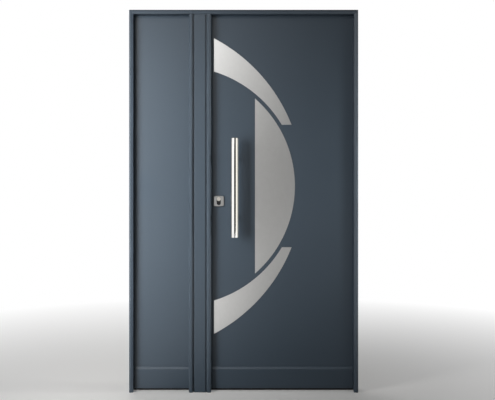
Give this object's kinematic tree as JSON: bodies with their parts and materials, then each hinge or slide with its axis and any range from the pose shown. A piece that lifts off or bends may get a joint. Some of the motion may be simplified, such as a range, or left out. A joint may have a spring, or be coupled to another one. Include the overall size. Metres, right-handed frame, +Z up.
{
  "type": "security_door",
  "caption": "Anthracite steel security door with a wide lock leaf, a narrow side leaf, curved stainless inlays and a vertical pull bar",
  "frame": {"origin": "floor level, on the wall face of the hinge jamb (right jamb seen from outside), at half the frame depth", "axes": "+X to the right as seen from outside, +Y inward through the door, +Z up"},
  "size_m": [1.2, 0.2095, 2.005],
  "materials": {
    "anthracite_paint": "satin powder coat on steel sheet",
    "satin_stainless": "fine satin stainless steel",
    "polished_stainless": "polished stainless tube",
    "nickel_plate": "nickel plated brass and steel",
    "zinc_steel": "zinc plated steel",
    "black_rubber": "soft black rubber",
    "black_plastic": "matt black plastic",
    "core_foam": "rigid insulating foam"
  },
  "bodies": {
    "frame": {"hinge_jamb": "anthracite_paint", "side_jamb": "anthracite_paint", "head": "anthracite_paint", "mullion": "anthracite_paint", "strike_plate": "satin_stainless", "main_frame_seal": "black_rubber", "side_frame_seal": "black_rubber", "main_hinge_pins": "zinc_steel", "side_hinge_pins": "zinc_steel"},
    "main_leaf": {"main_outer_skin": "anthracite_paint", "main_inner_skin": "anthracite_paint", "main_leaf_core": "core_foam", "main_bottom_seal": "black_rubber", "main_kick_plate": "anthracite_paint", "upper_inlay": "satin_stainless", "centre_inlay": "satin_stainless", "lower_inlay": "satin_stainless", "pull_bar": "polished_stainless", "pull_posts": "polished_stainless", "lock_escutcheon": "satin_stainless", "cylinder_guard": "black_plastic", "lock_cylinder": "nickel_plate", "lock_forend": "satin_stainless", "lock_bolts": "nickel_plate", "lever_rose": "satin_stainless", "inner_lever": "satin_stainless", "cylinder_rose": "satin_stainless", "thumb_turn": "satin_stainless", "main_hinge_wings": "zinc_steel"},
    "side_leaf": {"side_outer_skin": "anthracite_paint", "side_inner_skin": "anthracite_paint", "side_leaf_core": "core_foam", "side_bottom_seal": "black_rubber", "side_kick_plate": "anthracite_paint", "side_hinge_wings": "zinc_steel", "slide_cases": "zinc_steel", "slide_rods": "nickel_plate"}
  },
  "joints": [
    {"name": "main_leaf_hinge", "type": "hinge", "parent": "frame", "child": "main_leaf", "pos_m": [-0.009, 0.063, 1.0025], "axis": [0, 0, -1], "range_deg": [0, 110]},
    {"name": "side_leaf_hinge", "type": "hinge", "parent": "frame", "child": "side_leaf", "pos_m": [-1.191, 0.063, 1.0025], "axis": [0, 0, 1], "range_deg": [0, 110]}
  ]
}
